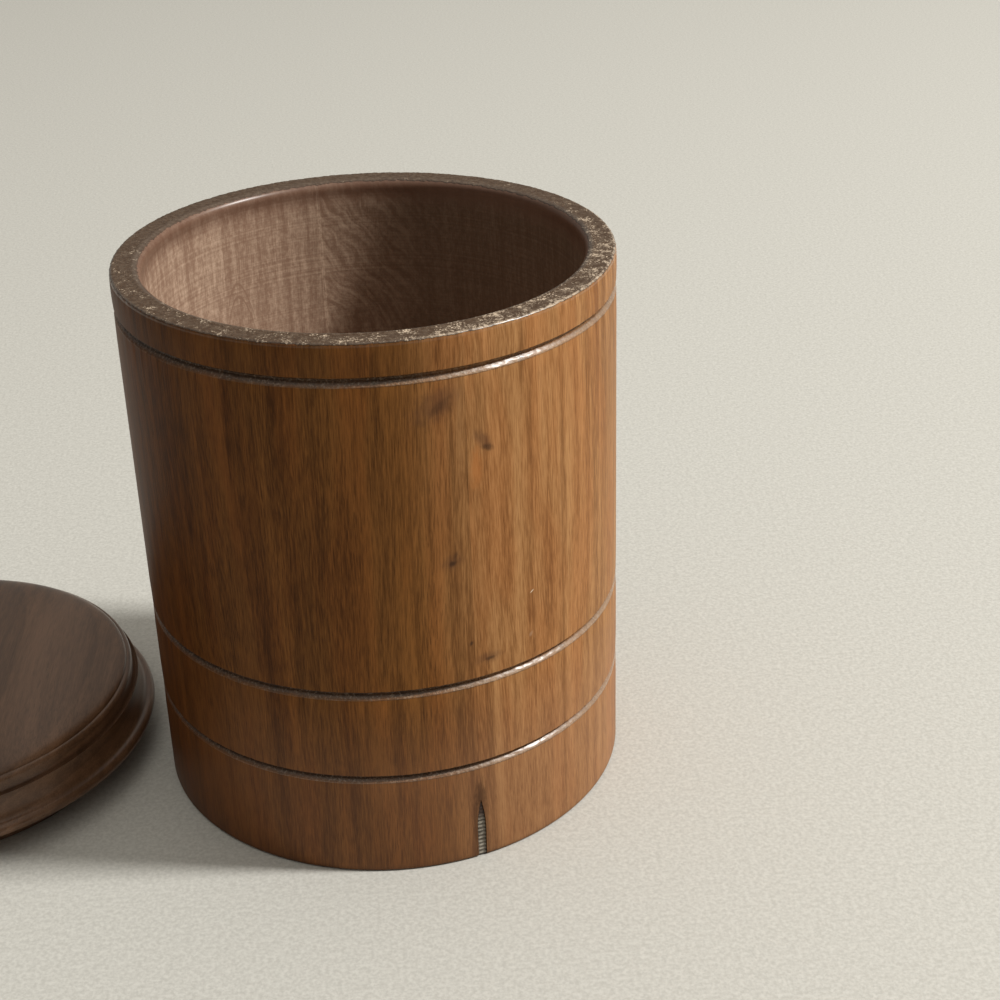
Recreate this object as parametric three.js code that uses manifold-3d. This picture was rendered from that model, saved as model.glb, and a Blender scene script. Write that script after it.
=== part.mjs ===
// A straight turned wooden cup, glued up from two half blanks, with its lift-off lid lying beside it.
// Millimetres, +Z up. The origin is the centre of the cup's base, and -Y is the front.

import * as THREE from 'three';
import { mergeVertices } from 'three/addons/utils/BufferGeometryUtils.js';
import Module from 'manifold-3d';

const wasm = await Module();
wasm.setup();

// Cup: a straight cylinder bored from the top
const cupHeight = 93.3;
const cupRadius = 40.3;
const wallThickness = 5;
const baseThickness = 9;
const floorFillet = 2.5;
const baseChamfer = 0.6;
const rimOuterChamfer = 0.4;
const rimInnerChamfer = 0.9;

// Seat at the mouth, bored a little wider than the inside below it
const seatDepth = 4.9;
const seatStep = 0.4;

// Incised lines round the wall, the top one measured down from the rim
const lowLineHeight = 18.3;
const lowLineWidth = 1.1;
const midLineHeight = 34.1;
const midLineWidth = 1.3;
const topLineDrop = 6.2;
const topLineWidth = 1.4;
const lineDepth = 0.7;

// Glue seam: an upright plane beside the axis, turned so that it shows right of the front
const seamAngle = THREE.MathUtils.degToRad(15.9);
const seamOffset = 2.1;
const glueLine = 0.3;

// Split where the seam has opened at the foot of the wall, and the hardened filler in it
const splitHeight = 13.5;
const splitTaper = 7.5;
const splitWidth = 2;
const splitDepth = 2.6;
const fillerGap = 0.3;
const fillerRecess = 0.4;
const fillerTipDrop = 3;

// Lid: a spigot that fits the seat, a brim over the rim and a raised crown
const spigotPlay = 0.25;
const spigotShort = 0.5;
const spigotChamfer = 0.8;
const brimOverhang = 0;
const brimEdge = 2.2;
const coveRise = 4.4;
const coveInset = 1.3;
const creaseWidth = 0.9;
const creaseDepth = 0.7;
const crownStep = 2.6;
const crownCorner = 0.9;
const crownDome = 3.2;

// Knob: turned by itself, its tenon glued into a mortise in the crown
const mortiseRadius = 4;
const mortiseDepth = 8;
const tenonGap = 0.2;
const tenonShort = 0.6;
const collarRadius = 8.4;
const collarHeight = 1.8;
const neckRadius = 5;
const neckHeight = 3.2;
const headRadius = 9.2;
const headHeight = 9;

// Place of the lid on the table: gap to the cup's wall, and how far it is turned behind the left side
const lidGap = 3.9;
const lidBearing = THREE.MathUtils.degToRad(4.5);

// Fineness of the round faces
const turnSegments = 72;
const knobSegments = 48;
const lineSteps = 4;
const filletSteps = 3;
const coveSteps = 5;
const domeSteps = 6;
const headSteps = 10;
const splitSteps = 4;

const seatRadius = cupRadius - wallThickness;
const boreRadius = seatRadius - seatStep;
const cutMargin = 1;

function point(radius, height) {
  return new THREE.Vector2(radius, height);
}

// Points along an elliptic arc, both ends included
function arc(centre, radiusX, radiusY, fromAngle, toAngle, steps) {
  const points = [];
  for (let step = 0; step <= steps; step += 1) {
    const angle = fromAngle + ((toAngle - fromAngle) * step) / steps;
    points.push(point(centre.x + radiusX * Math.cos(angle), centre.y + radiusY * Math.sin(angle)));
  }
  return points;
}

// Body of revolution about Z; the profile runs from the axis at the bottom to the axis at the top
function turned(profile, segments) {
  const geometry = new THREE.LatheGeometry(profile, segments);
  geometry.rotateX(Math.PI / 2);
  return welded(geometry);
}

// One shared vertex at each place, with the flat triangles at the poles left out
function welded(geometry) {
  geometry.deleteAttribute('normal');
  geometry.deleteAttribute('uv');
  const merged = mergeVertices(geometry);
  const corners = merged.index.array;
  const kept = [];
  for (let i = 0; i < corners.length; i += 3) {
    const [a, b, c] = corners.slice(i, i + 3);
    if (a !== b && b !== c && c !== a) {
      kept.push(a, b, c);
    }
  }
  merged.setIndex(kept);
  merged.computeVertexNormals();
  return merged;
}

function toSolid(geometry) {
  const vertProperties = new Float32Array(geometry.attributes.position.array);
  const triVerts = new Uint32Array(geometry.index.array);
  return new wasm.Manifold(new wasm.Mesh({ numProp: 3, vertProperties, triVerts }));
}

function toGeometry(solid) {
  const mesh = solid.getMesh();
  const geometry = new THREE.BufferGeometry();
  geometry.setAttribute('position', new THREE.BufferAttribute(mesh.vertProperties, 3));
  geometry.setIndex(new THREE.BufferAttribute(mesh.triVerts, 1));
  geometry.computeVertexNormals();
  return geometry;
}

// Round-bottomed line cut into the outer wall
function incisedLine(height, width) {
  const middle = point(cupRadius, height);
  return arc(middle, -lineDepth, width / 2, -Math.PI / 2, Math.PI / 2, lineSteps);
}

function cupProfile() {
  const fillet = point(boreRadius - floorFillet, baseThickness + floorFillet);
  return [
    point(0, 0),
    point(cupRadius - baseChamfer, 0),
    point(cupRadius, baseChamfer),
    ...incisedLine(lowLineHeight, lowLineWidth),
    ...incisedLine(midLineHeight, midLineWidth),
    ...incisedLine(cupHeight - topLineDrop, topLineWidth),
    point(cupRadius, cupHeight - rimOuterChamfer),
    point(cupRadius - rimOuterChamfer, cupHeight),
    point(seatRadius + rimInnerChamfer, cupHeight),
    point(seatRadius, cupHeight - rimInnerChamfer),
    point(seatRadius, cupHeight - seatDepth),
    point(boreRadius, cupHeight - seatDepth),
    ...arc(fillet, floorFillet, floorFillet, 0, -Math.PI / 2, filletSteps),
    point(0, baseThickness),
  ];
}

// Everything on one side of the seam, half a glue line clear of it
function sideOfSeam(direction) {
  const reach = 2 * (cupRadius + cutMargin);
  const box = new THREE.BoxGeometry(reach, reach, cupHeight + 2 * cutMargin);
  const centreX = seamOffset + (direction * (glueLine + reach)) / 2;
  box.translate(centreX, 0, cupHeight / 2);
  return toSolid(welded(box));
}

// Upright slot with a pointed top, seen from the front, running from its foot to its tip
function slotOutline(width, foot, tip, taper) {
  const half = width / 2;
  const shoulder = tip - taper;
  const bulge = shoulder + taper / 2;
  const outline = new THREE.Shape();
  outline.moveTo(-half, foot);
  outline.lineTo(half, foot);
  outline.lineTo(half, shoulder);
  outline.quadraticCurveTo(half, bulge, 0, tip);
  outline.quadraticCurveTo(-half, bulge, -half, shoulder);
  outline.closePath();
  return outline;
}

// A slot outline made solid along the seam, between two distances in front of the axis
function slotSolid(outline, innerDistance, outerDistance) {
  const depth = outerDistance - innerDistance;
  const geometry = new THREE.ExtrudeGeometry(outline, { depth, bevelEnabled: false, curveSegments: splitSteps });
  geometry.rotateX(Math.PI / 2);
  geometry.translate(seamOffset, -innerDistance, 0);
  return welded(geometry);
}

const seamFront = Math.sqrt(cupRadius ** 2 - seamOffset ** 2);

function splitCut() {
  const outline = slotOutline(splitWidth, -cutMargin, splitHeight, splitTaper);
  return toSolid(slotSolid(outline, seamFront - splitDepth, cupRadius + cutMargin));
}

function fillerGeometry() {
  const width = splitWidth - 2 * fillerGap;
  const outline = slotOutline(width, fillerGap, splitHeight - fillerTipDrop, splitTaper - fillerTipDrop);
  return slotSolid(outline, seamFront - splitDepth + fillerGap, seamFront - fillerRecess);
}

// Lid heights, from the underside of the spigot that it stands on
const spigotHeight = seatDepth - spigotShort;
const spigotRadius = seatRadius - spigotPlay;
const brimRadius = cupRadius + brimOverhang;
const creaseHeight = spigotHeight + brimEdge + coveRise;
const crownRadius = brimRadius - brimEdge / 2 - coveInset - creaseWidth;
const crownHeight = creaseHeight + crownStep;
const knobSeat = crownHeight + crownDome;

function lidProfile() {
  const edge = brimEdge / 2;
  const edgeMiddle = point(brimRadius - edge, spigotHeight + edge);
  const cove = point(brimRadius - edge, creaseHeight);
  const corner = point(crownRadius - crownCorner, crownHeight - crownCorner);
  const domeFoot = point(collarRadius, crownHeight);
  const domeReach = crownRadius - crownCorner - collarRadius;
  return [
    point(0, 0),
    point(spigotRadius - spigotChamfer, 0),
    point(spigotRadius, spigotChamfer),
    point(spigotRadius, spigotHeight),
    ...arc(edgeMiddle, edge, edge, -Math.PI / 2, Math.PI / 2, lineSteps),
    ...arc(cove, -coveInset, -coveRise, Math.PI / 2, 0, coveSteps).slice(1),
    point(crownRadius + creaseWidth / 2, creaseHeight - creaseDepth),
    point(crownRadius, creaseHeight),
    ...arc(corner, crownCorner, crownCorner, 0, Math.PI / 2, filletSteps),
    ...arc(domeFoot, domeReach, crownDome, 0, Math.PI / 2, domeSteps).slice(1),
    point(mortiseRadius, knobSeat),
    point(mortiseRadius, knobSeat - mortiseDepth),
    point(0, knobSeat - mortiseDepth),
  ];
}

function knobProfile() {
  const tenonRadius = mortiseRadius - tenonGap;
  const tenonFoot = knobSeat - mortiseDepth + tenonShort;
  const neckFoot = knobSeat + collarHeight;
  const headFoot = neckFoot + neckHeight;
  const waist = point(collarRadius, neckFoot + neckHeight / 2);
  const headMiddle = point(0, headFoot + headHeight / 2);
  const neckAngle = Math.acos(neckRadius / headRadius);
  return [
    point(0, tenonFoot),
    point(tenonRadius, tenonFoot),
    point(tenonRadius, knobSeat),
    point(collarRadius, knobSeat),
    ...arc(waist, neckRadius - collarRadius, neckHeight / 2, -Math.PI / 2, 0, filletSteps),
    ...arc(headMiddle, headRadius, headHeight / 2, -neckAngle, Math.PI / 2, headSteps),
  ];
}

function wood(color, roughness) {
  return new THREE.MeshStandardMaterial({ color, roughness, metalness: 0 });
}

function piece(name, geometry, material) {
  const mesh = new THREE.Mesh(geometry, material);
  mesh.name = name;
  return mesh;
}

// The cup's halves and filler, in a group turned so that the seam stands where it shows
function makeCup() {
  const body = toSolid(turned(cupProfile(), turnSegments)).subtract(splitCut());
  const leftHalf = toGeometry(body.intersect(sideOfSeam(-1)));
  const rightHalf = toGeometry(body.intersect(sideOfSeam(1)));
  const cup = new THREE.Group();
  cup.rotation.z = seamAngle;
  cup.add(piece('cup_left_half', leftHalf, wood(0x6e3a1b, 0.35)));
  cup.add(piece('cup_right_half', rightHalf, wood(0x8a4b22, 0.35)));
  cup.add(piece('seam_filler', fillerGeometry(), wood(0x4a423a, 0.8)));
  return cup;
}

function makeLid() {
  const distance = cupRadius + lidGap + brimRadius;
  const lid = new THREE.Group();
  lid.position.set(-distance * Math.cos(lidBearing), distance * Math.sin(lidBearing), 0);
  lid.add(piece('lid', turned(lidProfile(), turnSegments), wood(0x5e3218, 0.4)));
  lid.add(piece('lid_knob', turned(knobProfile(), knobSegments), wood(0x643518, 0.35)));
  return lid;
}

const group = new THREE.Group();
group.add(makeCup());
group.add(makeLid());

export default group;
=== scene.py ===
"""A straight turned wooden cup, glued up from two halves, with its lid beside it, built round a frame."""

from collections import namedtuple
from math import acos, cos, degrees, pi, radians, sin, sqrt

import bmesh
import bpy
from bpy.props import FloatProperty, FloatVectorProperty, PointerProperty
from bpy.types import Operator, Panel, PropertyGroup
from mathutils import Matrix, Vector


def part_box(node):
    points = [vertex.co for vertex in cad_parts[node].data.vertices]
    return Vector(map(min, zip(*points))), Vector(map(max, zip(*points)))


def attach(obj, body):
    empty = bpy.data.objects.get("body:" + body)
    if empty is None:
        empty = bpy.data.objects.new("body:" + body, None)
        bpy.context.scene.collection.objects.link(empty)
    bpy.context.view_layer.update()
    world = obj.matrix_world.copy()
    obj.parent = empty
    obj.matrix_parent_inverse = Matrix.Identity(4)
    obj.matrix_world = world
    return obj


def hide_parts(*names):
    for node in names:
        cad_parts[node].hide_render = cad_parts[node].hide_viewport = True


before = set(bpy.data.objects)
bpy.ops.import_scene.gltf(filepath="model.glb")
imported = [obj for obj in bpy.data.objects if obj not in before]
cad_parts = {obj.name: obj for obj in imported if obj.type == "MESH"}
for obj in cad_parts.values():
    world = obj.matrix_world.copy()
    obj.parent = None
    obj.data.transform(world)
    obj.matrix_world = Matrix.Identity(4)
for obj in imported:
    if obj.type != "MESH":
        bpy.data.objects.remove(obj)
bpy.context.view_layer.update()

bl_info = {
    "name": "Turned Cup and Lid",
    "version": (1, 0, 0),
    "blender": (4, 5, 0),
    "location": "3D View > Sidebar > Turned Cup",
    "description": "Models a turned wooden cup and its lid round a fixed frame",
    "category": "Object",
}

MM = 0.001
TO_MM = 1000.0

CUP_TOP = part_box("cup_right_half")[1]
LID_LOW, LID_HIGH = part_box("lid")
LID_CENTRE = (LID_LOW + LID_HIGH) / 2

# Fineness of the round pieces, in steps round the axis
CUP_STEPS = 640
LID_STEPS = 288
KNOB_STEPS = 128

# Distance within which points are merged, and angle up to which faces are smoothed
MERGE_DISTANCE = 0.001 * MM
SMOOTH_ANGLE = radians(32)

# Wear: its reach down from the rim and to both sides of each incised line, and the size of its dents
RIM_WEAR_REACH = 0.95 * MM
RIM_WEAR_GRAIN = 0.7 * MM
LINE_WEAR_REACH = 0.9 * MM
LINE_WEAR_GRAIN = 0.5 * MM

# Size of the floor
FLOOR_RADIUS = 6.0
FLOOR_THICKNESS = 0.03
FLOOR_EDGE = 0.01

# Bearing and height in millimetres of the arched figure inside, and the tilt of the curl beside it
ARCH_BEARING = radians(-139.7)
ARCH_HEIGHT = 79.5
CURL_TILT = radians(52)

# Spacing of the timbers' rings in millimetres, and how the lid's timber lies
CUP_RING_SPACING = 3.2
LID_RING_SPACING = 3.6
LID_GRAIN_TURN = (radians(90), 0.0, radians(20))

# Marks of the turning tool
CUP_MARKS_PER_MM = 2.6
LID_MARKS_PER_MM = 1.8

# Ways that the lit side and the near side of the wall face, and how much the lit side's border slants with
# height; the lit side is painted paler as light and holds the paler board
LIT_SIDE_WAY = (0.9455, 0.3256, 0.0)
NEAR_WAY = (0.71, -0.71, 0.0)
LIT_SIDE_SLANT = 0.00103


# Settings that a user can change

def length(name, description, default):
    """A size in metres, given here in millimetres."""
    return FloatProperty(name=name, description=description, default=default * MM, unit="LENGTH", precision=5)


def angle(name, description, default):
    """An angle, given here in degrees."""
    return FloatProperty(name=name, description=description, default=radians(default), unit="ROTATION")


def colour(name, description, *default):
    """A linear colour."""
    return FloatVectorProperty(
        name=name, description=description, default=(*default, 1.0), subtype="COLOR", size=4,
        min=0.0, max=1.0)


def number(name, description, default, unit="NONE"):
    """A plain number."""
    return FloatProperty(name=name, description=description, default=default, unit=unit)


class CupSizes(PropertyGroup):
    """Sizes of the cup's wall, lines, seat, seam and split."""

    height: length("Height", "From the table to the rim", CUP_TOP.z * TO_MM)
    radius: length("Radius", "Of the straight outer wall", CUP_TOP.x * TO_MM)
    wall: length("Wall", "Thickness of the wall at the rim", 5)
    base: length("Base", "Thickness of the base", 9)
    foot_round: length("Foot round", "Radius of the arris at the foot", 0.6)
    foot_hollow: length("Foot hollow", "Depth of the hollow turned under the base", 0.3)
    rim_outer_round: length("Outer rim round", "Radius of the rim's outer arris", 0.6)
    rim_inner_round: length("Inner rim round", "Radius of the rim's inner arris", 1.5)
    rim_wear: length("Rim wear", "Deepest dent along the rim", 0.18)
    seat_depth: length("Seat depth", "How far the lid's spigot goes in", 4.9)
    seat_step: length("Seat step", "How much wider the seat is than the bore", 0.16)
    seat_ease: length("Seat ease", "Height over which the seat runs out into the bore", 2.6)
    floor_round: length("Floor round", "Radius between the bore and the floor", 2.5)
    low_line: length("Low line", "Height of the lowest incised line", 18.3)
    low_line_width: length("Low line width", "Width of the lowest line", 1.1)
    mid_line: length("Middle line", "Height of the middle incised line", 34.1)
    mid_line_width: length("Middle line width", "Width of the middle line", 1.3)
    top_line: length("Top line", "Height of the line under the rim", 87.1)
    top_line_width: length("Top line width", "Width of the line under the rim", 1.4)
    line_depth: length("Line depth", "Depth of the incised lines", 0.7)
    line_wear: length("Line wear", "Deepest crinkle along the lines", 0.16)
    seam_angle: angle("Seam angle", "How far the glue seam is turned about the cup's axis", 15.9)
    seam_offset: length("Seam offset", "Distance of the glue seam from the cup's axis", 2.1)
    seam_gap: length("Seam gap", "Width of the glue line between the halves", 0.02)
    split_height: length("Split height", "Top of the open split at the foot", 11.4)
    split_taper: length("Split taper", "Height over which the split narrows to its tip", 5.6)
    split_width: length("Split width", "Width of the open split", 1.5)
    split_depth: length("Split depth", "Depth of the open split", 2.6)
    filler_gap: length("Filler gap", "Room between the filler and the split's sides", 0.04)
    filler_foot: length("Filler foot", "Room under the filler", 0.3)
    filler_recess: length("Filler recess", "How far the filler lies behind the wall", 0.08)
    filler_drop: length("Filler drop", "How far the filler ends below the split's tip", 0.3)
    rib_pitch: length("Rib pitch", "Distance between the ribs of the filler", 0.76)
    rib_depth: length("Rib depth", "How far the ribs stand out", 0.17)


class LidSizes(PropertyGroup):
    """Sizes of the lid and its knob."""

    centre: FloatVectorProperty(
        name="Centre", description="Where the lid's axis meets the table",
        default=(LID_CENTRE.x, LID_CENTRE.y, 0.0), subtype="TRANSLATION", size=3)
    spigot_radius: length("Spigot radius", "Of the part that goes into the cup's seat", 35.05)
    spigot_height: length("Spigot height", "Of the part that goes into the cup's seat", 4.4)
    spigot_chamfer: length("Spigot chamfer", "At the foot of the spigot", 0.8)
    brim_radius: length("Brim radius", "Of the rounded edge over the rim", 40.3)
    brim_edge: length("Brim edge", "Thickness of the rounded edge", 2.2)
    cove_rise: length("Cove rise", "Height of the hollow flank", 4.4)
    cove_inset: length("Cove inset", "Depth of the hollow flank", 1.3)
    crease_width: length("Crease width", "Of the groove round the crown", 0.9)
    crease_depth: length("Crease depth", "Of the groove round the crown", 0.7)
    crown_step: length("Crown step", "Height of the crown's upright edge", 2.6)
    crown_corner: length("Crown corner", "Radius of the crown's edge", 0.9)
    crown_dome: length("Crown dome", "Rise of the crown towards its middle", 3.2)
    mortise_radius: length("Mortise radius", "Of the hole for the knob's tenon", 4)
    mortise_depth: length("Mortise depth", "Of the hole for the knob's tenon", 8)
    tenon_gap: length("Tenon gap", "Room round the tenon", 0.2)
    tenon_short: length("Tenon short", "Room under the tenon", 0.6)
    collar_radius: length("Collar radius", "Of the knob's foot", 8.4)
    collar_height: length("Collar height", "Of the knob's foot", 1.8)
    neck_radius: length("Neck radius", "Of the knob's waist", 5)
    neck_height: length("Neck height", "Of the knob's waist", 3.2)
    head_radius: length("Head radius", "Of the knob's head", 9.2)
    head_height: length("Head height", "Of the knob's head", 9)


class WoodColours(PropertyGroup):
    """Colours of the woods, of the wear on them, of the light and shade painted on them, and of the filler.
    """

    # Left colours: the side away from the lamp, the darker board painted darker still as shade; right
    # colours: the side towards the lamp, the paler board painted paler still as light
    left_deep: colour("Left deep", "Dark grain of the unfaded side", 0.075, 0.026, 0.0048)
    left_mid: colour("Left middle", "Body colour of the unfaded side", 0.19, 0.075, 0.017)
    left_pale: colour("Left pale", "Pale grain of the unfaded side", 0.30, 0.121, 0.029)
    right_deep: colour("Right deep", "Dark grain of the faded side", 0.205, 0.085, 0.026)
    right_mid: colour("Right middle", "Body colour of the faded side", 0.37, 0.174, 0.062)
    right_pale: colour("Right pale", "Pale grain of the faded side", 0.50, 0.256, 0.102)
    # Painted shade for the wall's side away from the lamp
    far_side_shade: colour("Far tint", "Darkening of the side away from the light", 0.50, 0.42, 0.32)
    warm_tint: colour("Warm tint", "Redder patches of the grain", 1.0, 0.82, 0.7)
    foot_tint: colour("Foot tint", "Rosier wood towards the foot", 0.36, 0.19, 0.13)
    knot_core: colour("Knot core", "Core of the small knots", 0.04, 0.019, 0.011)
    knot_stain: colour("Knot stain", "Stain round the small knots", 0.095, 0.042, 0.024)
    knot_glow: colour("Knot glow", "Orange grain beside a knot", 0.50, 0.185, 0.052)
    pale_fleck: colour("Pale fleck", "Chip in the varnish", 0.80, 0.66, 0.50)
    bare_deep: colour("Bare deep", "Dark grain of the bare inside", 0.32, 0.195, 0.132)
    bare_pale: colour("Bare pale", "Pale grain of the bare inside", 0.72, 0.52, 0.38)
    # Painted shade for the inner wall in shadow
    bare_painted_shade: colour("Bare stain", "Darkened side of the bare inside", 0.085, 0.052, 0.031)
    seat_tint: colour("Seat tint", "Smoother wood of the lid's seat", 0.135, 0.062, 0.037)
    rim_deep: colour("Rim deep", "End grain of the rim", 0.07, 0.037, 0.018)
    # Pale rim specks: wear and painted glints
    rim_wear_and_glint: colour("Rim pale", "Worn specks on the rim", 0.60, 0.475, 0.35)
    # Dark of the lines: old polish and painted shade
    dirt_and_shade: colour("Line dirt", "Old polish in the incised lines", 0.035, 0.02, 0.011)
    # Pale lips of the lines: wear and a painted glint
    line_wear: colour("Line wear", "Worn lower lips of the incised lines", 0.42, 0.33, 0.25)
    lid_deep: colour("Lid deep", "Dark grain of the lid", 0.08, 0.04, 0.021)
    lid_mid: colour("Lid middle", "Body colour of the lid", 0.15, 0.076, 0.039)
    lid_pale: colour("Lid pale", "Pale grain of the lid", 0.215, 0.112, 0.06)
    # Filler colours: the dark one also paints shade, the pale one also paints highlights
    filler_dark_and_shade: colour("Filler deep", "Hollows of the filler", 0.075, 0.06, 0.043)
    filler_pale_and_glint: colour("Filler pale", "Crests of the filler", 0.44, 0.40, 0.33)


class StageSettings(PropertyGroup):
    """Camera, light and floor."""

    camera_height: length("Camera height", "Above the table", 189.07)
    camera_distance: length("Camera distance", "In front of the cup's axis", 274.41)
    camera_pitch: angle("Camera pitch", "How far the camera looks down", 27.45)
    camera_yaw: angle("Camera yaw", "How far the camera looks to the right", 4.276)
    camera_roll: angle("Camera roll", "How far the camera is tilted", 1.795)
    camera_lens: number("Lens", "Focal length", 64.66, "CAMERA")
    key_power: number("Key power", "Power of the main lamp", 37.5, "POWER")
    key_size: length("Key size", "Diameter of the main lamp", 240)
    key_distance: length("Key distance", "From the cup to the main lamp", 2000)
    key_bearing: angle("Key bearing", "How far the main lamp stands to the right of the front", 81)
    key_rise: angle("Key rise", "Height of the main lamp over the table", 47)
    key_tint: colour("Key tint", "Colour of the main lamp", 1.0, 0.985, 0.95)
    fill_tint: colour("Fill tint", "Colour of the light all round", 1.0, 0.96, 0.88)
    fill_low: number("Fill in front", "Light from the front of the room", 0.02)
    fill_top: number("Fill above", "Light added from straight above", 0.8)
    fill_back: number("Fill behind", "Light added from behind the cup", 0.2)
    floor_pale: colour("Floor pale", "Body colour of the floor", 0.63, 0.62, 0.575)
    floor_deep: colour("Floor deep", "Faint mottling of the floor", 0.51, 0.50, 0.46)


# Shader nodes

class Net:
    """Adds nodes to one node tree, with their inputs set or linked."""

    def __init__(self, tree):
        self.tree = tree

    def feed(self, socket, value):
        """Link another node's output to a socket, or set a plain value on it."""
        if isinstance(value, bpy.types.NodeSocket):
            self.tree.links.new(value, socket)
        else:
            socket.default_value = value

    def add(self, kind, inputs=(), **settings):
        node = self.tree.nodes.new(kind)
        for name, value in settings.items():
            setattr(node, name, value)
        self.feed_all(node.inputs, inputs)
        return node

    def feed_all(self, sockets, values):
        for key, value in dict(values).items():
            self.feed(sockets[key], value)

    def math(self, operation, *values, clamp=False):
        node = self.add("ShaderNodeMath", enumerate(values), operation=operation, use_clamp=clamp)
        return node.outputs[0]

    def vector(self, operation, *values):
        node = self.add("ShaderNodeVectorMath", enumerate(values), operation=operation)
        gives_number = operation in ("LENGTH", "DISTANCE", "DOT_PRODUCT")
        return node.outputs["Value" if gives_number else "Vector"]

    def minus(self, first, second):
        return self.math("SUBTRACT", first, second)

    def scaled(self, value, factor, shift):
        """A value times a factor, plus a shift."""
        return self.math("MULTIPLY_ADD", value, factor, shift)

    def product(self, *values):
        result = values[0]
        for value in values[1:]:
            result = self.math("MULTIPLY", result, value)
        return result

    def total(self, *terms):
        """Sum of values, each with its own weight."""
        result = 0.0
        for value, weight in terms:
            result = self.scaled(value, weight, result)
        return result

    def grain(self, place, stretch, detail=2.0, roughness=0.5, output="Fac"):
        """Noise with so many cells per millimetre along each axis."""
        scaled = self.vector("MULTIPLY", place, stretch)
        inputs = {"Vector": scaled, "Scale": 1.0, "Detail": detail, "Roughness": roughness}
        return self.add("ShaderNodeTexNoise", inputs).outputs[output]

    def span(self, value, low, high, to_low=0.0, to_high=1.0):
        """Smooth step from one value to another."""
        inputs = enumerate((value, low, high, to_low, to_high))
        return self.add("ShaderNodeMapRange", inputs, interpolation_type="SMOOTHSTEP").outputs[0]

    def mix(self, factor, first, second, blend="MIX"):
        inputs = {0: factor, 6: first, 7: second}
        return self.add("ShaderNodeMix", inputs, data_type="RGBA", blend_type=blend).outputs[2]

    def ramp(self, factor, *colours):
        """Colours spread evenly from 0 to 1."""
        node = self.add("ShaderNodeValToRGB", {0: factor})
        stops = node.color_ramp.elements
        while len(stops) < len(colours):
            stops.new(0.5)
        for index, shade in enumerate(colours):
            stops[index].position = index / (len(colours) - 1)
            stops[index].color = shade
        return node.outputs[0]

    def parts(self, place):
        """X, Y and Z of a place."""
        return self.add("ShaderNodeSeparateXYZ", {0: place}).outputs

    def from_axis(self, place):
        """Distance from the upright axis."""
        return self.vector("LENGTH", self.vector("MULTIPLY", place, (1.0, 1.0, 0.0)))

    def unrolled(self, place, radius, bearing, height):
        """An upright wall laid flat: X to the right of a bearing, Y above a height."""
        parts = self.parts(place)
        turned = self.math("ARCTAN2", parts["X"], self.product(parts["Y"], -1.0))
        aside = self.product(self.minus(turned, bearing), radius)
        above = self.minus(parts["Z"], height)
        return self.add("ShaderNodeCombineXYZ", {"X": aside, "Y": above}).outputs[0]

    def place(self, turn=(0.0, 0.0, 0.0), shift=(0.0, 0.0, 0.0)):
        """The piece's own coordinates in millimetres, turned and shifted for a pattern."""
        own = self.add("ShaderNodeTexCoord").outputs["Object"]
        inputs = {"Vector": own, "Location": shift, "Rotation": turn, "Scale": (TO_MM, TO_MM, TO_MM)}
        return self.add("ShaderNodeMapping", inputs, vector_type="POINT").outputs[0]


def use_group(net, tree, **inputs):
    """A shader group in a material; its input names are written with _ for a space."""
    named = {name.replace("_", " "): value for name, value in inputs.items()}
    return net.add("ShaderNodeGroup", named, node_tree=tree).outputs


# Inputs of the shader groups that are places; all other sockets are numbers
PLACES = ("Place", "Pith")


def shader_group(name, inputs, outputs):
    """A new shader group with its sockets: its tree, its net, what it is given and what it puts out."""
    tree = bpy.data.node_groups.new(name, "ShaderNodeTree")
    for side, labels in (("INPUT", inputs), ("OUTPUT", outputs)):
        for label in labels:
            kind = "NodeSocketVector" if label in PLACES else "NodeSocketFloat"
            tree.interface.new_socket(label, in_out=side, socket_type=kind)
    net = Net(tree)
    return tree, net, net.add("NodeGroupInput").outputs, net.add("NodeGroupOutput").inputs


def timber_group():
    """Solid timber with its grain along Z."""
    tree, net, given, wanted = shader_group(
        "Timber", ("Place", "Pith", "Ring spacing"),
        ("Rings", "Bands", "Streaks", "Lines", "Pores", "Warmth"))
    place = given["Place"]
    sway = net.vector("SUBTRACT", net.grain(place, (0.018, 0.018, 0.005), output="Color"), (0.5, 0.5, 0.5))
    bent = net.vector("MULTIPLY_ADD", sway, (6.0, 6.0, 0.0), place)
    from_pith = net.from_axis(net.vector("SUBTRACT", bent, given["Pith"]))
    year = net.math("FRACT", net.math("DIVIDE", from_pith, given["Ring spacing"]))
    rings = net.product(net.span(year, 0.15, 0.9), net.span(year, 1.0, 0.93))
    dashes = net.span(net.grain(bent, (5.0, 5.0, 0.3), 1.0), 0.56, 0.68)
    density = net.span(net.grain(place, (0.13, 0.13, 0.02), 1.0), 0.35, 0.65, 0.25, 1.0)
    net.feed_all(wanted, {
        "Rings": rings,
        "Bands": net.grain(bent, (0.10, 0.10, 0.005), 1.0),
        "Streaks": net.grain(bent, (0.7, 0.7, 0.03)),
        "Lines": net.grain(bent, (4.4, 4.4, 0.25), 3.0, 0.65),
        "Pores": net.product(dashes, density),
        "Warmth": net.span(net.grain(bent, (0.2, 0.2, 0.03), 2.0), 0.4, 0.65)})
    return tree


def wall_mark_group():
    """A ragged mark on an upright wall, at a bearing to the right of the front."""
    tree, net, given, wanted = shader_group(
        "Wall mark", ("Place", "Radius", "Bearing", "Height", "Tilt", "Half length", "Half width"), ("Mark",))
    flat = net.unrolled(given["Place"], given["Radius"], given["Bearing"], given["Height"])
    inputs = {"Vector": flat, "Angle": given["Tilt"]}
    turned = net.add("ShaderNodeVectorRotate", inputs, rotation_type="Z_AXIS", invert=True).outputs[0]
    halves = net.add(
        "ShaderNodeCombineXYZ", {"X": given["Half length"], "Y": given["Half width"], "Z": 1.0}).outputs[0]
    reach = net.vector("LENGTH", net.vector("DIVIDE", turned, halves))
    ragged = net.grain(given["Place"], (1.8, 1.8, 0.9), 3.0)
    net.feed(wanted["Mark"], net.span(net.scaled(ragged, 0.9, reach), 1.6, 0.65))
    return tree


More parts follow.
